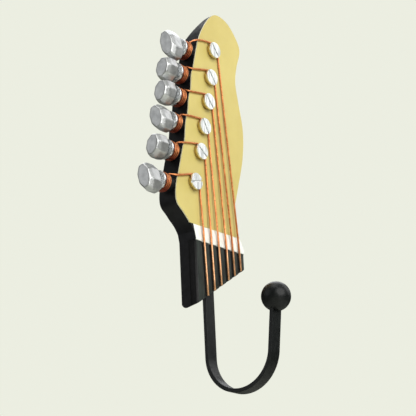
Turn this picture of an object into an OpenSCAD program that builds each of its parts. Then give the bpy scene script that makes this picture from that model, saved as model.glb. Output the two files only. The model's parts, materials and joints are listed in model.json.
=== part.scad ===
// Wall hook shaped like the headstock of an electric guitar: a flat head with six string
// tuners along one edge, a short end of the neck under it, and a U-shaped iron hook.
// Millimetres. The wall is the plane y = 0, the front faces -Y and +Z is up.
// The origin is the centre of the round part of the hanging keyhole.

/* [Headstock] */
// Thickness of the head, with its face
head_t = 11.4; // [11:0.1:13]
// Thickness of the cream face
face_t = 0.6; // [0.5:0.1:1]
// Width of the neck
neck_w = 42.5; // [41:0.5:44]
// Height of the hanging hole above the lower edge of the nut
hang_h = 98; // [96:1:100]
// Angle of the bevel on the back of the tip
tip_bevel = 27; // [10:1:28]
// Outward step of the edge under each string
edge_step = 1.7; // [0.5:0.1:2]
// How far the neck and the hook's bar stand off the wall
stand_off = 2; // [1.6:0.1:2.4]

/* [Nut and fretboard] */
// Height of the nut along the head
nut_h = 9; // [8:0.5:10]
// How far the fretboard stands in front of the face
board_rise = 1.45; // [1:0.05:1.8]
// Thickness of the fretboard
board_t = 4.8; // [4:0.1:5]
// Length of the fretboard at its left edge
board_left = 34.4; // [33:0.2:36]
// Length of the fretboard at its right edge
board_right = 8.1; // [7:0.1:10]
// Tilt of the lower end, which hangs lower at the wall
end_tilt = 8; // [4:1:12]

/* [Tuners] */
// Diameter of a string post's head
post_d = 9; // [8:0.1:9.4]
// How far the post heads stand out of the face
post_rise = 2.9; // [2.6:0.1:3.4]
// Distance from the wall to the turning axis of the knobs
axis_y = 6.2; // [6:0.1:6.4]
// Length of a knob
knob_len = 10.6; // [9:0.2:12]
// Thickness of a knob
knob_t = 9; // [6:0.2:9]
// Radius of the pin that a knob turns on
pin_r = 1.5; // [1.2:0.1:1.6]

/* [Strings] */
// Diameter of a string
string_d = 1.1; // [0.9:0.1:1.2]
// Turns of each string on its spool
coil_turns = 3; // [2:1:3]

/* [Hook] */
// Width of the flat bar
bar_w = 7.5; // [6:0.5:9]
// Thickness of the flat bar
bar_t = 2.2; // [2:0.1:2.4]
// Outer radius of the bend
bend_r = 21.5; // [20:0.5:23]
// Height of the bend's centre under the lower edge of the nut
bend_drop = 58.9; // [56:0.5:64]
// Outward lean of the front arm
arm_lean = 6.7; // [0:0.1:10]
// Length of the front arm above the bend
arm_len = 24; // [20:0.5:26]
// Diameter of the ball on the arm
ball_d = 15.5; // [14:0.5:17]

/* [Hanger] */
// Width of the hanger plate
plate_w = 22; // [20:0.5:22]
// Thickness of the hanger plate
plate_t = 1.2; // [1:0.1:1.5]
// Radius of the keyhole's round part
key_r = 4; // [3.5:0.1:4.2]
// Radius of the keyhole's slot
slot_r = 2.1; // [1.8:0.1:2.2]
// How far the keyhole's slot runs up
slot_rise = 6; // [5:0.5:7]

/* [Hidden] */
$fn = 64;
// Gap between pieces that are fixed together, and a length for cuts that run out of a solid
fit_gap = 0.05;
over = 1;

// Heights below are counted from the lower edge of the nut, and x from the middle of the neck.
// One entry per tuner, from the tip to the nut: post's centre, string's place on the edge of
// the face, height of the knob's axis, start of the string's coil, knob's height, knob's turn
// at rest, turn of the slot in the post, string's place on the nut.
post_at = [[2.3, 113.3], [-1.5, 96.1], [-4.8, 81.1], [-9.5, 65.5], [-13.3, 50.3], [-19.3, 32]];
cross_at = [[-8.5, 117], [-14.6, 98.2], [-17.7, 84.2], [-21.2, 69.5], [-24.9, 53.2], [-31.2, 33.5]];
axis_z = [109.9, 94.4, 80.5, 64.7, 47.9, 28.8];
coil_x = [-14, -18.5, -20.8, -25.2, -29.2, -36.8];
knob_h = [17, 12.6, 13, 15, 13, 16];
knob_turn = [14, -18, -14, 16, -16, 14];
slot_turn = [-52, -55, -50, -60, -35, 16];
nut_x = [15.8, 10, 4.4, -2.2, -8.4, -14.6];

// The head's edge, without the steps at the strings
lower_lobe = [[-23.6, 9.2], [-28.6, 14], [-33, 17.6], [-34, 22.4]];
tip_edge = [[-3.9, 126], [2.9, 134.1], [9.4, 137], [18, 135], [25.2, 128.4], [28.6, 121]];
right_edge = [[24.8, 110], [23, 100], [25, 88], [27.7, 73], [26, 56], [20.4, 38], [16.6, 26],
              [16.4, 19], [18.4, 11]];
neck_edge = 4.6;
corner_pull = 1;
spline_steps = 6;
// Lower and upper point of the step under each string, from the string's place on the edge
step_low = [-edge_step, -3.6];
step_high = [0.2, 1.2];

// Depths from the wall
head_front = head_t;
body_front = head_t - face_t;
board_front = head_t + board_rise;
neck_front = board_front - board_t;
board_bevel = 1.2;
// Rounding of the corner between the lower end and the back of the neck
end_round = 3.5;
end_round_step = 22.5;
nut_lip = 1;
// The back slopes in from the wall, from this height down to the neck
back_slope_from = 12;
cheek_w = 0.6;
post_head_t = 1.5;
groove_r = post_d / 2 - 0.6;
post_slot_w = 1;
post_slot_depth = 0.8;
post_shank_r = 2.2;
post_shank_len = 4.2;
string_r = string_d / 2;
string_gap = 0.12;
string_sides = 8;
wrap_r = groove_r + string_r + string_gap;
string_on_face = head_front + string_r + string_gap;
string_on_board = board_front + string_r + string_gap;
string_drift = 0.04;

// Along a tuner's axis, counted outward from the start of the coil
boss_len = 5;
spool_r = 4.4;
spool_len = 5.1;
shank_r = 2.5;
shank_len = 8;
flange_r = 5.5;
flange_len = 1.2;
pin_gap = 0.05;
knob_gap = 0.2;
knob_start = spool_len + flange_len + knob_gap;
pin_in_knob = 6;
coil_r = spool_r + string_r + string_gap;
coil_pitch = string_d + string_gap;
coil_steps = 12;
coil_inset = 0.1;
coil_lift = 50;
// A string leaves its coil along the last tenth of a turn and reaches the face's edge from below
lead_turn = 0.1;
lead_steps = 6;
lead_reach = [1, 0.6];
wrap_step = 22.5;

bend_steps = 60;
// The ball's centre is this far past the end of the bar
ball_past_bar = 3.6;

screw_r = 1.4;
screw_head_r = 2.8;
screw_head_h = 1.5;
screw_slot_w = 0.7;
screw_slot_depth = 0.7;
bar_top = 28;
bar_screw_z = [6, 20];
bar_screw_len = 5.2;
plate_screw_x = 8;
plate_screw_z = -3;
plate_screw_len = 5;
plate_round = 3;
plate_low = 7;
plate_high = 10;
pocket_depth = 3;
pocket_margin = 1.5;
bevel_from = 118;
slice_t = 0.1;
knob_flat = 0.4;
// Places along a knob, as shares of its length, and its size there
knob_stations = [[0, 0.58], [0.2, 1], [0.7, 1], [1, 0.82]];

function unit(v) = v / norm(v);

// A smooth curve through the points between the first and the last one
function curve_point(a, b, c, d, t) =
  (2 * b + (c - a) * t + (2 * a - 5 * b + 4 * c - d) * t * t + (3 * b - a - 3 * c + d) * t * t * t) / 2;
function curve(p, steps) = [
  for (i = [0 : len(p) - 4], s = [0 : steps - 1])
    curve_point(p[i], p[i + 1], p[i + 2], p[i + 3], s / steps)
];

step_edge = [
  for (i = [5 : -1 : 0], side = [0, 1])
    cross_at[i] + (side == 0 ? step_low : step_high)
];
neck_x = neck_w / 2;
head_outline = concat(
  [[-neck_x, 0]],
  curve(concat([[corner_pull - neck_x, 0], [-neck_x, neck_edge]], lower_lobe, step_edge, tip_edge,
               right_edge, [[neck_x, neck_edge], [neck_x - corner_pull, 0]]), spline_steps),
  [[neck_x, neck_edge], [neck_x, 0]]
);

// Moves heights counted from the nut into the frame of the origin
module from_nut() {
  translate([0, 0, -hang_h]) children();
}

// A flat shape drawn in x and z, from one depth to another
module slab(from_y, to_y) {
  translate([0, -from_y, 0]) rotate([90, 0, 0]) linear_extrude(to_y - from_y) children();
}

// What a rounded corner takes away, with the sharp corner at the origin
function corner_cut(r) = concat(
  [[-r, -over], [over, -over], [over, r]],
  [for (a = [0 : end_round_step : 90]) r * [cos(a) - 1, 1 - sin(a)]]
);

// Everything under the slanted lower end of the neck
module below_end() {
  slope = atan((board_left - board_right) / neck_w);
  translate([0, -board_front, -(board_left + board_right) / 2])
    rotate([0, -slope, 0])
      rotate([-end_tilt, 0, 0]) {
        translate([-neck_w, -neck_w, -2 * neck_w]) cube([2 * neck_w, 3 * neck_w, 2 * neck_w]);
        translate([-neck_w, board_front - stand_off, 0]) rotate([90, 0, 90])
          linear_extrude(2 * neck_w) polygon(corner_cut(end_round));
      }
}

// Side view: drawn outward from the wall and up, and +Z points to the left
module side_view() {
  rotate([90, 0, -90]) children();
}

// Places children on the axis of one tuner: their +Z points away from the head, along -X
module on_tuner(i) {
  from_nut() translate([coil_x[i], -axis_y, axis_z[i]]) rotate([0, -90, 0]) children();
}

// Places children on one post's axis at the face: their +Z points out of the face
module on_post(i) {
  translate([post_at[i][0], -head_front, post_at[i][1]]) rotate([90, 0, 0]) children();
}

// Places children on the centre of the hook's bend, in the side view
module on_bend() {
  translate([stand_off + bend_r, -bend_drop, 0]) children();
}

module screw(length) {
  difference() {
    union() {
      cylinder(h = screw_head_h, r1 = screw_head_r, r2 = screw_r);
      cylinder(h = length, r = screw_r);
    }
    translate([-screw_head_r, -screw_slot_w / 2, -over])
      cube([2 * screw_head_r, screw_slot_w, over + screw_slot_depth]);
  }
}

// Turns a screw or a hole so that it goes in from the back
module from_back(x, y, z) {
  translate([x, -y, z]) rotate([90, 0, 0]) children();
}

module screw_hole(length) {
  cylinder(h = screw_head_h, r1 = screw_head_r + fit_gap, r2 = screw_r + fit_gap);
  cylinder(h = length + fit_gap, r = screw_r + fit_gap);
}

module bar_screws_at() {
  for (z = bar_screw_z) from_nut() from_back(0, stand_off, z) children();
}

module plate_screws_at() {
  for (x = [-plate_screw_x, plate_screw_x]) from_back(x, 0, plate_screw_z) children();
}

module plate_outline(grow) {
  w = plate_w / 2 - plate_round;
  r = plate_round + grow;
  for (x = [-w, w], z = [plate_round - plate_low, plate_high - plate_round]) translate([x, z]) circle(r);
  translate([-w - r, plate_round - plate_low])
    square([2 * (w + r), plate_low + plate_high - 2 * plate_round]);
  translate([-w, -plate_low - grow]) square([2 * w, plate_low + plate_high + 2 * grow]);
}

module keyhole(round_r, neck_r) {
  circle(round_r);
  translate([-neck_r, 0]) square([2 * neck_r, slot_rise]);
  translate([0, slot_rise]) circle(neck_r);
}

// The nut's block and the cheek beside it: its front slopes back from the fretboard to the face
module nut_block(from_x, width) {
  intersection() {
    slab(0, board_front) polygon(head_outline);
    side_view() translate([0, 0, -from_x - width]) linear_extrude(width)
      polygon([[body_front, 0], [board_front, 0], [board_front, nut_lip], [head_front, nut_h],
               [body_front, nut_h]]);
  }
}

module head_body() {
  color([0.09, 0.09, 0.10]) difference() {
    from_nut() difference() {
      union() {
        slab(0, body_front) polygon(head_outline);
        slab(stand_off, neck_front) translate([-neck_x, -neck_w]) square([neck_w, neck_w]);
        nut_block(cheek_w - neck_x - neck_w, neck_w);
        for (i = [0 : 5]) translate([0, 0, hang_h]) on_tuner(i)
          translate([0, 0, -boss_len]) cylinder(h = boss_len, r = spool_r);
      }
      below_end();
      side_view() translate([0, 0, -neck_w]) linear_extrude(2 * neck_w)
        polygon([[-over, 0], [stand_off, 0], [0, back_slope_from], [-over, back_slope_from]]);
      translate([0, 0, bevel_from]) rotate([tip_bevel, 0, 0])
        translate([-neck_w, 0, 0]) cube([2 * neck_w, neck_w, neck_w]);
      translate([-bar_w / 2 - fit_gap, -stand_off - bar_t - fit_gap, -neck_w - over])
        cube([bar_w + 2 * fit_gap, stand_off + bar_t + fit_gap + over,
              neck_w + over + bar_top + fit_gap]);
      for (i = [0 : 5]) on_post(i)
        translate([0, 0, -post_shank_len - fit_gap]) cylinder(h = head_t, r = post_shank_r + fit_gap);
    }
    for (i = [0 : 5]) on_tuner(i)
      translate([0, 0, -shank_len - fit_gap]) cylinder(h = 2 * shank_len, r = shank_r + fit_gap);
    slab(-over, plate_t) plate_outline(fit_gap);
    slab(0, plate_t + pocket_depth) keyhole(key_r + pocket_margin, key_r);
    bar_screws_at() screw_hole(bar_screw_len);
    plate_screws_at() screw_hole(plate_screw_len);
  }
}

module face_plate() {
  color([0.87, 0.80, 0.52]) from_nut() difference() {
    slab(body_front, head_front) polygon(head_outline);
    slab(0, head_t + over) translate([-neck_w, -over]) square([2 * neck_w, nut_h + over]);
    for (i = [0 : 5]) on_post(i)
      translate([0, 0, -post_shank_len]) cylinder(h = head_t, r = post_shank_r + fit_gap);
  }
}

module nut() {
  color([0.94, 0.95, 0.90]) from_nut() nut_block(cheek_w - neck_x, 2 * neck_w);
}

module fretboard() {
  color([0.17, 0.20, 0.19]) from_nut() difference() {
    translate([0, 0, -neck_w]) linear_extrude(neck_w)
      polygon([[-neck_x, -neck_front], [neck_x, -neck_front], [neck_x, board_bevel - board_front],
               [neck_x - board_bevel, -board_front], [board_bevel - neck_x, -board_front],
               [-neck_x, board_bevel - board_front]]);
    below_end();
  }
}

// One side of the flat bar, in the side view from the bend's centre: up behind the neck, round
// the bend and up the front arm
function bar_side(r) = concat(
  [[-r, bend_drop + bar_top]],
  [for (a = [180 : (180 - arm_lean) / bend_steps : 360 - arm_lean + fit_gap]) r * [cos(a), sin(a)]],
  [r * [cos(arm_lean), -sin(arm_lean)] + arm_len * [sin(arm_lean), cos(arm_lean)]]
);
function reversed(p) = [for (k = [len(p) - 1 : -1 : 0]) p[k]];

module hook_bar() {
  color([0.13, 0.15, 0.15]) difference() {
    from_nut() side_view() on_bend() linear_extrude(bar_w, center = true)
      polygon(concat(bar_side(bend_r), reversed(bar_side(bend_r - bar_t))));
    bar_screws_at() screw_hole(bar_screw_len);
  }
}

module hook_ball() {
  color([0.13, 0.15, 0.15]) from_nut() side_view() on_bend() rotate(-arm_lean)
    translate([bend_r - bar_t / 2, arm_len + ball_past_bar, 0]) difference() {
      sphere(ball_d / 2);
      translate([-bar_t / 2 - fit_gap, -ball_d, -bar_w / 2 - fit_gap])
        cube([bar_t + 2 * fit_gap, ball_d - ball_past_bar + fit_gap, bar_w + 2 * fit_gap]);
    }
}

module hook_screws() {
  color([0.55, 0.55, 0.57]) bar_screws_at() screw(bar_screw_len);
}

module hanger_plate() {
  color([0.70, 0.70, 0.72]) difference() {
    slab(0, plate_t) difference() {
      plate_outline(0);
      keyhole(key_r, slot_r);
    }
    plate_screws_at() screw_hole(plate_screw_len);
  }
}

module hanger_screws() {
  color([0.55, 0.55, 0.57]) plate_screws_at() screw(plate_screw_len);
}

// A string goes once round the groove under the post's slotted head
module post(i) {
  color([0.80, 0.80, 0.82]) from_nut() on_post(i) difference() {
    union() {
      translate([0, 0, -post_shank_len]) cylinder(h = post_shank_len, r = post_shank_r);
      cylinder(h = post_rise, r = groove_r);
      translate([0, 0, post_rise - post_head_t]) cylinder(h = post_head_t, r = post_d / 2);
    }
    rotate(slot_turn[i]) translate([-post_d, -post_slot_w / 2, post_rise - post_slot_depth])
      cube([2 * post_d, post_slot_w, post_slot_depth + over]);
  }
}

module bushing(i) {
  color([0.72, 0.72, 0.74]) on_tuner(i) difference() {
    union() {
      translate([0, 0, -shank_len]) cylinder(h = shank_len, r = shank_r);
      cylinder(h = spool_len, r = spool_r);
      translate([0, 0, spool_len]) cylinder(h = flange_len, r = flange_r);
    }
    translate([0, 0, -shank_len - over])
      cylinder(h = shank_len + spool_len + flange_len + 2 * over, r = pin_r + pin_gap);
  }
}

module knob_pin(i) {
  start = pin_gap - shank_len;
  color([0.60, 0.60, 0.62]) on_tuner(i) translate([0, 0, start])
    cylinder(h = knob_start + pin_in_knob - start, r = pin_r);
}

// Flat eight-sided section of a knob, scaled to one place along its length
module knob_slice(h, along, size) {
  a = size * h / 2;
  b = size * knob_t / 2;
  quarter = [[a, knob_flat * b], [knob_flat * a, b]];
  half = concat(quarter, [for (p = [quarter[1], quarter[0]]) [-p[0], p[1]]]);
  translate([0, 0, along * (knob_len - slice_t)]) linear_extrude(slice_t)
    polygon(concat(half, -half));
}

module knob(i) {
  color([0.66, 0.66, 0.68]) on_tuner(i) rotate(knob_turn[i]) translate([0, 0, knob_start]) difference() {
    hull() {
      for (s = knob_stations) knob_slice(knob_h[i], s[0], s[1]);
    }
    translate([0, 0, -over]) cylinder(h = pin_in_knob + over + fit_gap, r = pin_r + fit_gap);
  }
}

// Lower end of the neck at one place across it
function end_z(x) = -board_left + (x + neck_x) * (board_left - board_right) / neck_w;

// A string's route: round its spool, over the edge of the face, round its post, straight to
// the nut and along the fretboard to the slanted end
function coil_at(i, turns) =
  let (a = coil_lift - 360 * turns)
    [coil_x[i] - string_r - coil_inset - coil_pitch * turns, -axis_y - coil_r * cos(a),
     axis_z[i] + coil_r * sin(a)];
function coil(i) = [for (k = [coil_turns * coil_steps : -1 : 0]) coil_at(i, k / coil_steps)];
function wrap(i) = [
  for (a = [90 : -wrap_step : 0])
    [post_at[i][0] + wrap_r * cos(a), -string_on_face, post_at[i][1] + wrap_r * sin(a)]
];
function lead(i) =
  let (edge = cross_at[i] - lead_reach)
    curve([coil_at(i, lead_turn), coil_at(i, 0), [edge[0], -string_on_face, edge[1]], wrap(i)[0],
           wrap(i)[1]], lead_steps);
function run(i) =
  let (x = nut_x[i], end = end_z(x) + string_d)
    [[x, -string_on_board, nut_lip], [x, -string_on_board, -nut_lip],
     [x - string_drift * end, -string_on_board, end]];
function string_path(i) =
  let (l = lead(i))
    concat(coil(i), [for (k = [1 : len(l) - 1]) l[k]], wrap(i), run(i));

// A round tube along a path, with the rings turned as little as possible from one to the next
function tangents(p) = [
  for (k = [0 : len(p) - 1]) unit(p[min(k + 1, len(p) - 1)] - p[max(k - 1, 0)])
];
function normals(t) = [
  for (k = 0, n = unit(cross(t[0], [1, 0, 0])); k < len(t);
       k = k + 1, n = k < len(t) ? unit(n - (n * t[k]) * t[k]) : n) n
];
module tube(p, r, sides) {
  t = tangents(p);
  n = normals(t);
  rings = len(p);
  points = [
    for (k = [0 : rings - 1], s = [0 : sides - 1])
      let (a = 360 * s / sides) p[k] + r * (cos(a) * n[k] + sin(a) * cross(t[k], n[k]))
  ];
  walls = [
    for (k = [0 : rings - 2], s = [0 : sides - 1])
      let (a = k * sides + s, b = k * sides + (s + 1) % sides)
        [a, a + sides, b + sides, b]
  ];
  first = [for (s = [0 : sides - 1]) s];
  last = [for (s = [sides - 1 : -1 : 0]) (rings - 1) * sides + s];
  polyhedron(points, concat(walls, [first, last]), convexity = 10);
}

module guitar_string(i) {
  color([0.74, 0.42, 0.22]) from_nut() tube(string_path(i), string_r, string_sides);
}

head_body();
face_plate();
nut();
fretboard();
hook_bar();
hook_ball();
hook_screws();
hanger_plate();
hanger_screws();
post(0);  // post_1
post(1);  // post_2
post(2);  // post_3
post(3);  // post_4
post(4);  // post_5
post(5);  // post_6
bushing(0);  // bushing_1
bushing(1);  // bushing_2
bushing(2);  // bushing_3
bushing(3);  // bushing_4
bushing(4);  // bushing_5
bushing(5);  // bushing_6
knob_pin(0);  // knob_pin_1
knob_pin(1);  // knob_pin_2
knob_pin(2);  // knob_pin_3
knob_pin(3);  // knob_pin_4
knob_pin(4);  // knob_pin_5
knob_pin(5);  // knob_pin_6
knob(0);  // knob_1
knob(1);  // knob_2
knob(2);  // knob_3
knob(3);  // knob_4
knob(4);  // knob_5
knob(5);  // knob_6
guitar_string(0);  // string_1
guitar_string(1);  // string_2
guitar_string(2);  // string_3
guitar_string(3);  // string_4
guitar_string(4);  // string_5
guitar_string(5);  // string_6
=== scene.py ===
"""Looks of a wall hook shaped like an electric guitar's headstock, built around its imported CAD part.

The row frame is in metres: +Z is up, the wall is the plane y = 0 and the front faces -Y.
"""

import json
import math

import bmesh
import bpy
from mathutils import Matrix, Vector

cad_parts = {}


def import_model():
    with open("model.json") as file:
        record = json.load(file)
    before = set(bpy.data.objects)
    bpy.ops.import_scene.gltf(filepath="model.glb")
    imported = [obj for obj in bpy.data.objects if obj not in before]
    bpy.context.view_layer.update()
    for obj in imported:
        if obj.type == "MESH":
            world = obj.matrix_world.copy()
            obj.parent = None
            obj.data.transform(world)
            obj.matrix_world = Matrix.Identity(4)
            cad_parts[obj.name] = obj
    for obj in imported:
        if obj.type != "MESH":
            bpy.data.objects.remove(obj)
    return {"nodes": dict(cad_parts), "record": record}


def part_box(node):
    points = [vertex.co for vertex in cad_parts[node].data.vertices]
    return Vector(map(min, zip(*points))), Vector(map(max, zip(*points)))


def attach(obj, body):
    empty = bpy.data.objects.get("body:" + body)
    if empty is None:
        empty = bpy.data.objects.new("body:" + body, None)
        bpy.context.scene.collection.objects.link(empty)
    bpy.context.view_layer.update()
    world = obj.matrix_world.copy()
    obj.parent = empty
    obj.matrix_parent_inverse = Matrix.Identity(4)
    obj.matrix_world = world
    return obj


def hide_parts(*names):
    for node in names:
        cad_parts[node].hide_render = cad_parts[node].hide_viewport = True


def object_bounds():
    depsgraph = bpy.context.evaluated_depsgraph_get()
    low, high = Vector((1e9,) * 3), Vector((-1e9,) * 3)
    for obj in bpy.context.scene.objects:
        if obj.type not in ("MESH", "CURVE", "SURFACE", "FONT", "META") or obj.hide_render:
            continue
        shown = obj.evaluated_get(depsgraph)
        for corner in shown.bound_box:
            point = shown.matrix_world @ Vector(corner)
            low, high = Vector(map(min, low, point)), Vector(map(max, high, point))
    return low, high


MM = 0.001
STRINGS = range(1, 7)

# The camera looks up from the left of the hook, turned a little about its own line of sight
CAMERA_AZIMUTH = -52.5
CAMERA_ELEVATION = -17.7
CAMERA_ROLL = -2.7
CAMERA_DISTANCE = 920.7 * MM
CAMERA_AIM = Vector((-13.1, -15.8, -79.9)) * MM
LENS = 151.3

# The hook hangs well above the floor, because the camera is lower than the hook
FLOOR_DROP = 0.55
FLOOR_SIZE = 14.0
FLOOR_GLOW = 0.65
BACKGROUND = (0.838, 0.855, 0.755)
AMBIENT = 0.1

# Softening of the knobs, which are cast with rounded edges
KNOB_VOXEL = 0.32 * MM
KNOB_SMOOTHING = 22

# The strings lie in slots cut in the nut and in the fretboard
BOARD_SLOT_WIDTH = 2.9 * MM
BOARD_SLOT_DEPTH = 1.0 * MM
NUT_SLOT_WIDTH = 1.7 * MM
NUT_SLOT_DEPTH = 0.5 * MM
# A slot's bottom as a share of its width, and how far it runs on past the string's end
SLOT_BOTTOM = 0.4
SLOT_OVERRUN = 11.6 * MM
# The vertices of a string's end are within this height of each other
END_RING = 0.5 * MM

# Vertices of a CAD mesh closer than this are one, and faces flatter than this are one face
WELD = 0.002 * MM
FLAT_ANGLE = 1

# Rounding of the edges of the pieces that stay as they are in the CAD
NODE_EDGES = {
    "head_body": 0.5 * MM,
    "hook_bar": 0.35 * MM,
    "face_plate": 0.15 * MM,
    **{f"post_{i}": 0.3 * MM for i in STRINGS},
    **{f"bushing_{i}": 0.25 * MM for i in STRINGS},
}
BLOCK_EDGE = 0.3 * MM

# Name, azimuth, elevation, distance, diameter, watts and colour of each light. The glow is what
# the post tops and the knobs' flat sides mirror, and the back light does the same for the tip.
LIGHTS = (
    ("key", -15, 20, 1.3, 1.5, 21, (1.0, 1.0, 0.97)),
    ("glow", 62, 33, 1.2, 1.0, 3.2, (1.0, 1.0, 1.0)),
    ("left_fill", -125, 20, 1.2, 1.0, 1.8, (0.97, 0.98, 1.0)),
    ("top", -70, 75, 1.0, 0.7, 2.5, (1.0, 1.0, 0.98)),
    ("back", 128, 53, 1.2, 1.2, 9, (0.97, 0.98, 1.0)),
)

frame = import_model()
cad_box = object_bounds()
nodes = frame["nodes"]

# Places where a material changes, each from a front or a lower edge in the CAD
NUT_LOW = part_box("nut")[0].z
FACE_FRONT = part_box("face_plate")[0].y
POST_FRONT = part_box("post_1")[0].y
BOARD_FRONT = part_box("fretboard")[0].y
# A wire is painted paler below the nut as painted light, and its coil, which gets painted shade, lies
# behind the face
PAINTED_LIGHT_WIRE_Z = (NUT_LOW - 3 * MM, NUT_LOW + 1 * MM)
COIL_Y = (FACE_FRONT - 0.5 * MM, FACE_FRONT + 0.1 * MM)
# A post has its bright top colour down to the bottom of its slot, and a painted reflection of the face
# below
POST_TOP_Y = (POST_FRONT + 0.75 * MM, POST_FRONT + 0.95 * MM)
# The fretboard is grey-green on the ridges between its slots, and painted shade makes it black in the
# slots
BOARD_SLOT_SHADE_Y = (BOARD_FRONT + 0.15 * MM, BOARD_FRONT + 0.45 * MM)


# --- Geometry helpers ---------------------------------------------------------------------------


def direction(azimuth, elevation):
    """Unit vector that points from the hook to a place round it."""
    a, e = math.radians(azimuth), math.radians(elevation)
    return Vector((math.sin(a) * math.cos(e), -math.cos(a) * math.cos(e), math.sin(e)))


def cleaned(node):
    """A copy of a CAD node's mesh: welded, with each flat face in one piece."""
    bm = bmesh.new()
    bm.from_mesh(nodes[node].data)
    bmesh.ops.remove_doubles(bm, verts=bm.verts, dist=WELD)
    bmesh.ops.dissolve_limit(bm, angle_limit=math.radians(FLAT_ANGLE), verts=bm.verts, edges=bm.edges)
    return bm


def piece(name, bm, body, node, material):
    """Makes a piece from a bmesh, which rides on a body and stands for a CAD node."""
    mesh = bpy.data.meshes.new(name)
    for face in bm.faces:
        face.smooth = True
    bm.to_mesh(mesh)
    bm.free()
    mesh.materials.append(material)
    obj = bpy.data.objects.new(name, mesh)
    bpy.context.scene.collection.objects.link(obj)
    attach(obj, body)
    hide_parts(node)
    return obj


def bevelled(obj, width, segments=3, angle=35):
    """Rounds the sharp edges of an object by modifiers, which leave its mesh as it is."""
    weld = obj.modifiers.new("weld", "WELD")
    weld.merge_threshold = WELD
    bevel = obj.modifiers.new("edges", "BEVEL")
    bevel.width = width
    bevel.segments = segments
    bevel.limit_method = "ANGLE"
    bevel.angle_limit = math.radians(angle)
    bevel.miter_outer = "MITER_ARC"
    bevel.harden_normals = True
    return obj


# --- Material helpers ---------------------------------------------------------------------------


class Finish:
    """A Principled material whose colour, roughness and bump come from procedural patterns."""

    def __init__(self, name, metallic=0.0, coat=0.0, coat_roughness=0.2, specular=0.5):
        self.material = bpy.data.materials.new(name)
        self.material.use_nodes = True
        self.tree = self.material.node_tree
        self.shader = self.tree.nodes["Principled BSDF"]
        self.shader.inputs["Metallic"].default_value = metallic
        self.shader.inputs["Coat Weight"].default_value = coat
        self.shader.inputs["Coat Roughness"].default_value = coat_roughness
        self.shader.inputs["Specular IOR Level"].default_value = specular
        self.place = self.node("ShaderNodeTexCoord").outputs["Object"]
        self.facing = self.node("ShaderNodeNewGeometry").outputs["Normal"]
        self.normal = None

    def node(self, kind, **settings):
        made = self.tree.nodes.new(kind)
        for key, value in settings.items():
            setattr(made, key, value)
        return made

    def link(self, source, target):
        self.tree.links.new(source, target)

    def noise(self, size, detail=4.0, roughness=0.55, stretch=(1, 1, 1), turn=(0, 0, 0)):
        """Noise whose patches are about size metres across; stretch lengthens them along an axis."""
        mapping = self.node("ShaderNodeMapping")
        mapping.inputs["Rotation"].default_value = [math.radians(a) for a in turn]
        mapping.inputs["Scale"].default_value = [1 / s for s in stretch]
        texture = self.node("ShaderNodeTexNoise")
        texture.inputs["Scale"].default_value = 1 / size
        texture.inputs["Detail"].default_value = detail
        texture.inputs["Roughness"].default_value = roughness
        self.link(self.place, mapping.inputs["Vector"])
        self.link(mapping.outputs["Vector"], texture.inputs["Vector"])
        return texture.outputs["Fac"]

    def ramp(self, value, low, high, low_at=0.35, high_at=0.65):
        """Colours from low to high, as value goes from low_at to high_at."""
        made = self.node("ShaderNodeValToRGB")
        made.color_ramp.elements[0].position = low_at
        made.color_ramp.elements[0].color = (*low, 1)
        made.color_ramp.elements[1].position = high_at
        made.color_ramp.elements[1].color = (*high, 1)
        self.link(value, made.inputs["Fac"])
        return made.outputs["Color"]

    def scaled(self, value, low, high, low_at=0.3, high_at=0.7):
        """A number from low to high, as value goes from low_at to high_at."""
        made = self.node("ShaderNodeMapRange")
        numbers = {"From Min": low_at, "From Max": high_at, "To Min": low, "To Max": high}
        for socket, number in numbers.items():
            made.inputs[socket].default_value = number
        self.link(value, made.inputs["Value"])
        return made.outputs["Result"]

    def mix(self, share, first, second):
        """Colours mixed by share: first at 0 and second at 1."""
        made = self.node("ShaderNodeMix", data_type="RGBA")
        shown = {s.name: s for s in made.inputs if s.enabled}
        self.link(share, shown["Factor"])
        self.link(first, shown["A"])
        self.link(second, shown["B"])
        return next(s for s in made.outputs if s.enabled)

    def part_of(self, vector, axis):
        """One of the three numbers of a vector."""
        made = self.node("ShaderNodeSeparateXYZ")
        self.link(vector, made.inputs["Vector"])
        return made.outputs[axis]

    def math(self, operation, *values):
        """The result of a Math node on values from other nodes."""
        made = self.node("ShaderNodeMath", operation=operation)
        for value, socket in zip(values, made.inputs):
            self.link(value, socket)
        return made.outputs["Value"]

    def facing_front(self):
        """1 where the surface faces the front, and 0 on the sides."""
        return self.scaled(self.part_of(self.facing, "Y"), 1.0, 0.0, -0.95, -0.6)

    def colour(self, value):
        self.link(value, self.shader.inputs["Base Color"])

    def roughness(self, value):
        self.link(value, self.shader.inputs["Roughness"])

    def bump(self, height, depth, strength=1.0):
        """Adds relief of about depth metres; a later call adds to the earlier ones."""
        made = self.node("ShaderNodeBump")
        made.inputs["Strength"].default_value = strength
        made.inputs["Distance"].default_value = depth
        self.link(height, made.inputs["Height"])
        if self.normal is not None:
            self.link(self.normal, made.inputs["Normal"])
        self.normal = made.outputs["Normal"]
        self.link(self.normal, self.shader.inputs["Normal"])


def black_body():
    """Black resin: faint mottling, satin, with the small waves of a hand-finished casting."""
    f = Finish("black_body", coat=0.05, coat_roughness=0.4, specular=0.2)
    f.colour(f.ramp(f.noise(6 * MM), (0.0025, 0.0025, 0.0035), (0.006, 0.006, 0.008)))
    f.roughness(f.scaled(f.noise(2.5 * MM), 0.42, 0.6))
    f.bump(f.noise(7 * MM, detail=2), 0.25 * MM, 0.5)
    f.bump(f.noise(0.6 * MM), 0.03 * MM, 0.5)
    return f.material


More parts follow.
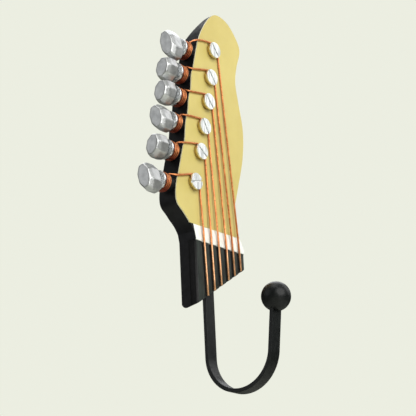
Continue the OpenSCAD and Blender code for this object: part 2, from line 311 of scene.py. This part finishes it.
def cream_face():
    """Painted cream face, with a painted highlight that makes its thin edge paler, and slight stains
    and brush marks.
    """
    f = Finish("cream_face", specular=0.4)
    broad = f.ramp(f.noise(28 * MM, detail=3), (0.60, 0.49, 0.155), (0.66, 0.55, 0.185))
    worn = f.ramp(f.noise(5 * MM, detail=6, roughness=0.7), (0.0, 0.0, 0.0), (1, 1, 1), 0.62, 0.8)
    pale = f.ramp(f.noise(9 * MM), (0.63, 0.53, 0.19), (0.69, 0.59, 0.24))
    painted = f.mix(worn, broad, pale)
    # The pale edge colour is a painted highlight along the plate's thin edge
    edge = f.ramp(f.noise(4 * MM), (0.86, 0.80, 0.52), (0.93, 0.89, 0.66))
    f.colour(f.mix(f.facing_front(), edge, painted))
    f.roughness(f.scaled(f.noise(3 * MM), 0.4, 0.58))
    f.bump(f.noise(1.2 * MM, detail=3, stretch=(1, 1, 5)), 0.02 * MM, 0.5)
    f.bump(f.noise(12 * MM, detail=1), 0.12 * MM, 0.4)
    return f.material


def white_nut():
    """Bone-white nut."""
    f = Finish("white_nut", coat=0.2, coat_roughness=0.25)
    f.colour(f.ramp(f.noise(4 * MM), (0.86, 0.88, 0.82), (0.94, 0.96, 0.91)))
    f.roughness(f.scaled(f.noise(1.5 * MM), 0.3, 0.5))
    f.bump(f.noise(1.6 * MM), 0.04 * MM, 0.5)
    return f.material


def dark_fretboard():
    """Dark grey-green board with a lengthwise grain; the slots are black with painted shade, and the
    sides are black as the neck.
    """
    f = Finish("dark_fretboard", specular=0.22)
    grain = f.noise(0.9 * MM, detail=5, stretch=(1, 1, 9))
    front = f.ramp(grain, (0.010, 0.014, 0.012), (0.030, 0.038, 0.033))
    # Black for the sides, and painted shade in the slots
    side = f.ramp(f.noise(6 * MM), (0.0008, 0.0008, 0.001), (0.003, 0.003, 0.004))
    outside_slot_shade = f.scaled(f.part_of(f.place, "Y"), 1, 0, *BOARD_SLOT_SHADE_Y)
    f.colour(f.mix(f.math("MULTIPLY", outside_slot_shade, f.facing_front()), side, front))
    f.roughness(f.scaled(f.noise(2 * MM), 0.38, 0.55))
    f.bump(grain, 0.06 * MM, 0.5)
    return f.material


def black_iron():
    """Black-coated iron: satin, with a fine orange peel."""
    f = Finish("black_iron", coat=0.12, coat_roughness=0.2, specular=0.2)
    f.colour(f.ramp(f.noise(3 * MM), (0.003, 0.004, 0.004), (0.008, 0.0095, 0.0095)))
    f.roughness(f.scaled(f.noise(1.4 * MM), 0.34, 0.5))
    f.bump(f.noise(0.9 * MM, detail=3), 0.035 * MM, 0.6)
    f.bump(f.noise(9 * MM, detail=1), 0.1 * MM, 0.3)
    return f.material


def bright_metal(name, low, high, smooth, rough, grain, stretch=(1, 1, 1), turn=(0, 0, 0), depth=0.03):
    """Metal with a grain of its own size and direction, and a broader tarnish over it."""
    f = Finish(name, metallic=1.0)
    lines = f.noise(grain, detail=5, stretch=stretch, turn=turn)
    f.colour(f.ramp(f.noise(2.2 * MM), low, high))
    f.roughness(f.scaled(lines, smooth, rough))
    f.bump(lines, depth * MM, 0.6)
    return f.material


def post_metal():
    """Bright posts: a few diagonal lines on the tops, and sides coloured as a painted reflection of
    the face.
    """
    f = Finish("post_metal", metallic=0.9)
    lines = f.noise(0.8 * MM, detail=3, stretch=(1, 1, 12), turn=(0, 35, 0))
    top = f.ramp(lines, (0.48, 0.50, 0.50), (0.88, 0.90, 0.89), 0.38, 0.52)
    # Golden side colour: a painted reflection of the cream face
    side = f.ramp(f.noise(1.5 * MM), (0.50, 0.36, 0.14), (0.66, 0.52, 0.25))
    near_top = f.scaled(f.part_of(f.place, "Y"), 1, 0, *POST_TOP_Y)
    f.colour(f.mix(f.math("MAXIMUM", near_top, f.facing_front()), side, top))
    f.roughness(f.scaled(lines, 0.36, 0.24))
    f.bump(lines, 0.012 * MM, 0.5)
    return f.material


def knob_metal():
    """Cast pewter-like knobs: pale grey, softly rough, with pits and a few darker patches."""
    f = Finish("knob_metal", metallic=0.85, specular=0.5)
    cast = f.ramp(f.noise(3.5 * MM, detail=5), (0.46, 0.47, 0.475), (0.62, 0.63, 0.635))
    dark = f.ramp(f.noise(0.7 * MM, detail=6), (0.26, 0.265, 0.27), (0.34, 0.34, 0.35))
    pits = f.scaled(f.noise(0.9 * MM, detail=6, roughness=0.7), 0.0, 0.6, 0.6, 0.85)
    f.colour(f.mix(pits, cast, dark))
    f.roughness(f.scaled(f.noise(1.2 * MM), 0.3, 0.42))
    f.bump(f.noise(0.5 * MM, detail=4), 0.02 * MM, 0.6)
    f.bump(f.noise(3 * MM, detail=2), 0.08 * MM, 0.4)
    return f.material


def copper_wire():
    """Copper-coloured wire: painted shade in dark red between the turns of a coil and under it, and
    painted light that makes it paler on the board.
    """
    f = Finish("copper_wire", metallic=0.55, specular=0.5)
    orange = f.ramp(f.noise(2.4 * MM), (0.48, 0.14, 0.04), (0.76, 0.29, 0.10))
    # The pale colour is painted light, for the same wire where it lies on the board
    pale = f.ramp(f.noise(2.4 * MM), (0.68, 0.33, 0.15), (0.82, 0.46, 0.24))
    # Painted shade in dark red, for the crevices between the turns of a coil and its underside
    shade = f.ramp(f.noise(1.2 * MM), (0.10, 0.010, 0.005), (0.20, 0.024, 0.010))
    painted_light_on_board = f.scaled(f.part_of(f.place, "Z"), 1, 0, *PAINTED_LIGHT_WIRE_Z)
    in_coil = f.scaled(f.part_of(f.place, "Y"), 0, 1, *COIL_Y)
    # Masks of the painted shade: the sides of the coil's turns and their undersides
    between = f.scaled(f.math("ABSOLUTE", f.part_of(f.facing, "X")), 0, 1, 0.62, 0.85)
    under = f.scaled(f.part_of(f.facing, "Z"), 1, 0, -0.8, -0.2)
    shaded = f.math("MULTIPLY", in_coil, f.math("MAXIMUM", between, under))
    f.colour(f.mix(shaded, f.mix(painted_light_on_board, orange, pale), shade))
    f.roughness(f.scaled(f.noise(1 * MM), 0.24, 0.4))
    f.bump(f.noise(0.4 * MM), 0.02 * MM, 0.6)
    return f.material


def floor_paint():
    """Plain pale floor, which the camera sees a little brighter than its lights make it."""
    f = Finish("floor_paint", specular=0.2)
    paint = f.ramp(f.noise(0.5), (0.76, 0.77, 0.69), (0.79, 0.80, 0.72))
    f.colour(paint)
    f.link(paint, f.shader.inputs["Emission Color"])
    seen = f.node("ShaderNodeLightPath").outputs["Is Camera Ray"]
    f.link(f.scaled(seen, 0, FLOOR_GLOW, 0, 1), f.shader.inputs["Emission Strength"])
    f.roughness(f.scaled(f.noise(0.2), 0.8, 0.9))
    return f.material


MATERIALS = {
    "black_body": black_body(),
    "cream_face": cream_face(),
    "white_nut": white_nut(),
    "dark_fretboard": dark_fretboard(),
    "black_iron": black_iron(),
    "screw_steel": bright_metal("screw_steel", (0.35, 0.35, 0.36), (0.50, 0.50, 0.51), 0.25, 0.4,
                                0.4 * MM),
    "plate_steel": bright_metal("plate_steel", (0.50, 0.50, 0.51), (0.64, 0.64, 0.65), 0.3, 0.5,
                                0.5 * MM, stretch=(8, 1, 1)),
    "post_metal": post_metal(),
    "tuner_metal": bright_metal("tuner_metal", (0.70, 0.71, 0.72), (0.86, 0.87, 0.88), 0.2, 0.34,
                                1.5 * MM, depth=0.005),
    "pin_steel": bright_metal("pin_steel", (0.45, 0.45, 0.46), (0.6, 0.6, 0.61), 0.25, 0.4,
                              0.5 * MM, stretch=(8, 1, 1)),
    "knob_metal": knob_metal(),
    "copper_wire": copper_wire(),
}


def finish_cad_nodes():
    """Gives each CAD node the material of its slot in the record."""
    for row in frame["record"]["subparts"]:
        obj = nodes[row["node"]]
        obj.data.materials.clear()
        obj.data.materials.append(MATERIALS[row["material_slot"]])


# --- Pieces -------------------------------------------------------------------------------------


def knob(i):
    """A cast knob: the CAD knob with its edges melted round."""
    obj = piece(f"knob_cast_{i}", cleaned(f"knob_{i}"), f"tuner_{i}", f"knob_{i}",
                MATERIALS["knob_metal"])
    remesh = obj.modifiers.new("cast", "REMESH")
    remesh.mode = "VOXEL"
    remesh.voxel_size = KNOB_VOXEL
    remesh.use_smooth_shade = True
    smooth = obj.modifiers.new("melt", "SMOOTH")
    smooth.factor = 0.5
    smooth.iterations = KNOB_SMOOTHING
    return obj


def string(i):
    """A wire along its CAD string, rounder than the CAD tube and with its flat ends kept."""
    bm = cleaned(f"string_{i}")
    bmesh.ops.join_triangles(bm, faces=bm.faces, angle_face_threshold=math.pi,
                             angle_shape_threshold=math.pi)
    crease = bm.edges.layers.float.new("crease_edge")
    ends = [face for face in bm.faces if len(face.verts) > 4]
    for end in ends:
        for edge in end.edges:
            edge[crease] = 1.0
    obj = piece(f"string_wire_{i}", bm, "hook", f"string_{i}",
                MATERIALS["copper_wire"])
    subdivision = obj.modifiers.new("round", "SUBSURF")
    subdivision.levels = 2
    subdivision.render_levels = 2
    return obj


def string_line(i):
    """Two points of a string: under the nut and at the lower end, on the string's axis."""
    points = [v.co for v in nodes[f"string_{i}"].data.vertices if v.co.z < NUT_LOW]
    top = max(p.z for p in points)
    bottom = min(p.z for p in points)
    ends = []
    for level in (top, bottom):
        near = [p for p in points if abs(p.z - level) < END_RING]
        ends.append(sum(near, Vector()) / len(near))
    return ends


def slot_cutter(i, front, top, width, depth):
    """A long prism under a string, which cuts a slot with sloping sides in a front face."""
    high, low = string_line(i)
    along = (low - high) / (low - high).length
    start = high - along * (top - high.z) / abs(along.z)
    bm = bmesh.new()
    rings = []
    edge = width / 2
    bottom = width * SLOT_BOTTOM / 2
    section = ((-edge, -depth), (-edge, 0), (-bottom, depth), (bottom, depth), (edge, 0),
               (edge, -depth))
    for place in (start, low + along * SLOT_OVERRUN):
        rings.append([bm.verts.new((place.x + x, front + y, place.z)) for x, y in section])
    first, last = rings
    for k in range(len(section)):
        after = (k + 1) % len(section)
        bm.faces.new((first[k], first[after], last[after], last[k]))
    bm.faces.new(reversed(first))
    bm.faces.new(last)
    bmesh.ops.recalc_face_normals(bm, faces=bm.faces)
    mesh = bpy.data.meshes.new("cutter")
    bm.to_mesh(mesh)
    bm.free()
    return bpy.data.objects.new("cutter", mesh)


def slotted(name, node, slot, width, depth):
    """A CAD block with a slot cut under each string, and soft edges."""
    obj = piece(name, cleaned(node), "hook", node, MATERIALS[slot])
    low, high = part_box(node)
    for i in STRINGS:
        cutter = slot_cutter(i, low.y, high.z + width, width, depth)
        bpy.context.scene.collection.objects.link(cutter)
        cut = obj.modifiers.new("slot", "BOOLEAN")
        cut.operation = "DIFFERENCE"
        cut.solver = "EXACT"
        cut.object = cutter
        bpy.context.view_layer.update()
        evaluated = obj.evaluated_get(bpy.context.evaluated_depsgraph_get())
        result = bpy.data.meshes.new_from_object(evaluated)
        obj.modifiers.clear()
        obj.data = result
        bpy.data.objects.remove(cutter)
    return bevelled(obj, BLOCK_EDGE, segments=2, angle=25)


# --- Stage --------------------------------------------------------------------------------------


def area_light(name, azimuth, elevation, distance, size, power, colour):
    """A round soft light that points at the middle of the hook."""
    light = bpy.data.lights.new(name, "AREA")
    light.shape = "DISK"
    light.size = size
    light.energy = power
    light.color = colour
    obj = bpy.data.objects.new(name, light)
    centre = (cad_box[0] + cad_box[1]) / 2
    toward = direction(azimuth, elevation)
    obj.location = centre + toward * distance
    obj.rotation_mode = "QUATERNION"
    obj.rotation_quaternion = toward.to_track_quat("Z", "Y")
    bpy.context.scene.collection.objects.link(obj)


def world():
    """Pale backdrop: seen in full by the camera, and dimmer as a light."""
    made = bpy.data.worlds.new("backdrop")
    made.use_nodes = True
    tree = made.node_tree
    shade = tree.nodes["Background"]
    shade.inputs["Color"].default_value = (*BACKGROUND, 1)
    seen = tree.nodes.new("ShaderNodeLightPath").outputs["Is Camera Ray"]
    strength = tree.nodes.new("ShaderNodeMapRange")
    strength.inputs["To Min"].default_value = AMBIENT
    tree.links.new(seen, strength.inputs["Value"])
    tree.links.new(strength.outputs["Result"], shade.inputs["Strength"])
    bpy.context.scene.world = made


def floor():
    """A level sheet, which isn't part of the hook."""
    bm = bmesh.new()
    bmesh.ops.create_grid(bm, x_segments=8, y_segments=8, size=FLOOR_SIZE / 2)
    mesh = bpy.data.meshes.new("floor")
    bm.to_mesh(mesh)
    bm.free()
    mesh.materials.append(floor_paint())
    obj = bpy.data.objects.new("floor", mesh)
    obj.location.z = cad_box[0].z - FLOOR_DROP
    bpy.context.scene.collection.objects.link(obj)


def camera():
    """The camera of the photograph, set from its direction, distance and roll."""
    lens = bpy.data.cameras.new("camera")
    lens.lens = LENS
    obj = bpy.data.objects.new("camera", lens)
    back = direction(CAMERA_AZIMUTH, CAMERA_ELEVATION)
    right = Vector((-back.y, back.x, 0)).normalized()
    up = back.cross(right)
    roll = math.radians(CAMERA_ROLL)
    turned_right = right * math.cos(roll) + up * math.sin(roll)
    turned_up = up * math.cos(roll) - right * math.sin(roll)
    axes = Matrix((turned_right, turned_up, back)).transposed()
    obj.matrix_world = Matrix.Translation(CAMERA_AIM + back * CAMERA_DISTANCE) @ axes.to_4x4()
    bpy.context.scene.collection.objects.link(obj)
    bpy.context.scene.camera = obj


camera()
world()
floor()
for light in LIGHTS:
    area_light(*light)
bpy.context.scene.view_settings.view_transform = "Standard"

finish_cad_nodes()
for i in STRINGS:
    knob(i)
    string(i)
slotted("fretboard_grooved", "fretboard", "dark_fretboard", BOARD_SLOT_WIDTH, BOARD_SLOT_DEPTH)
slotted("nut_slotted", "nut", "white_nut", NUT_SLOT_WIDTH, NUT_SLOT_DEPTH)
for node, width in NODE_EDGES.items():
    bevelled(nodes[node], width, segments=2 if node == "face_plate" else 3)
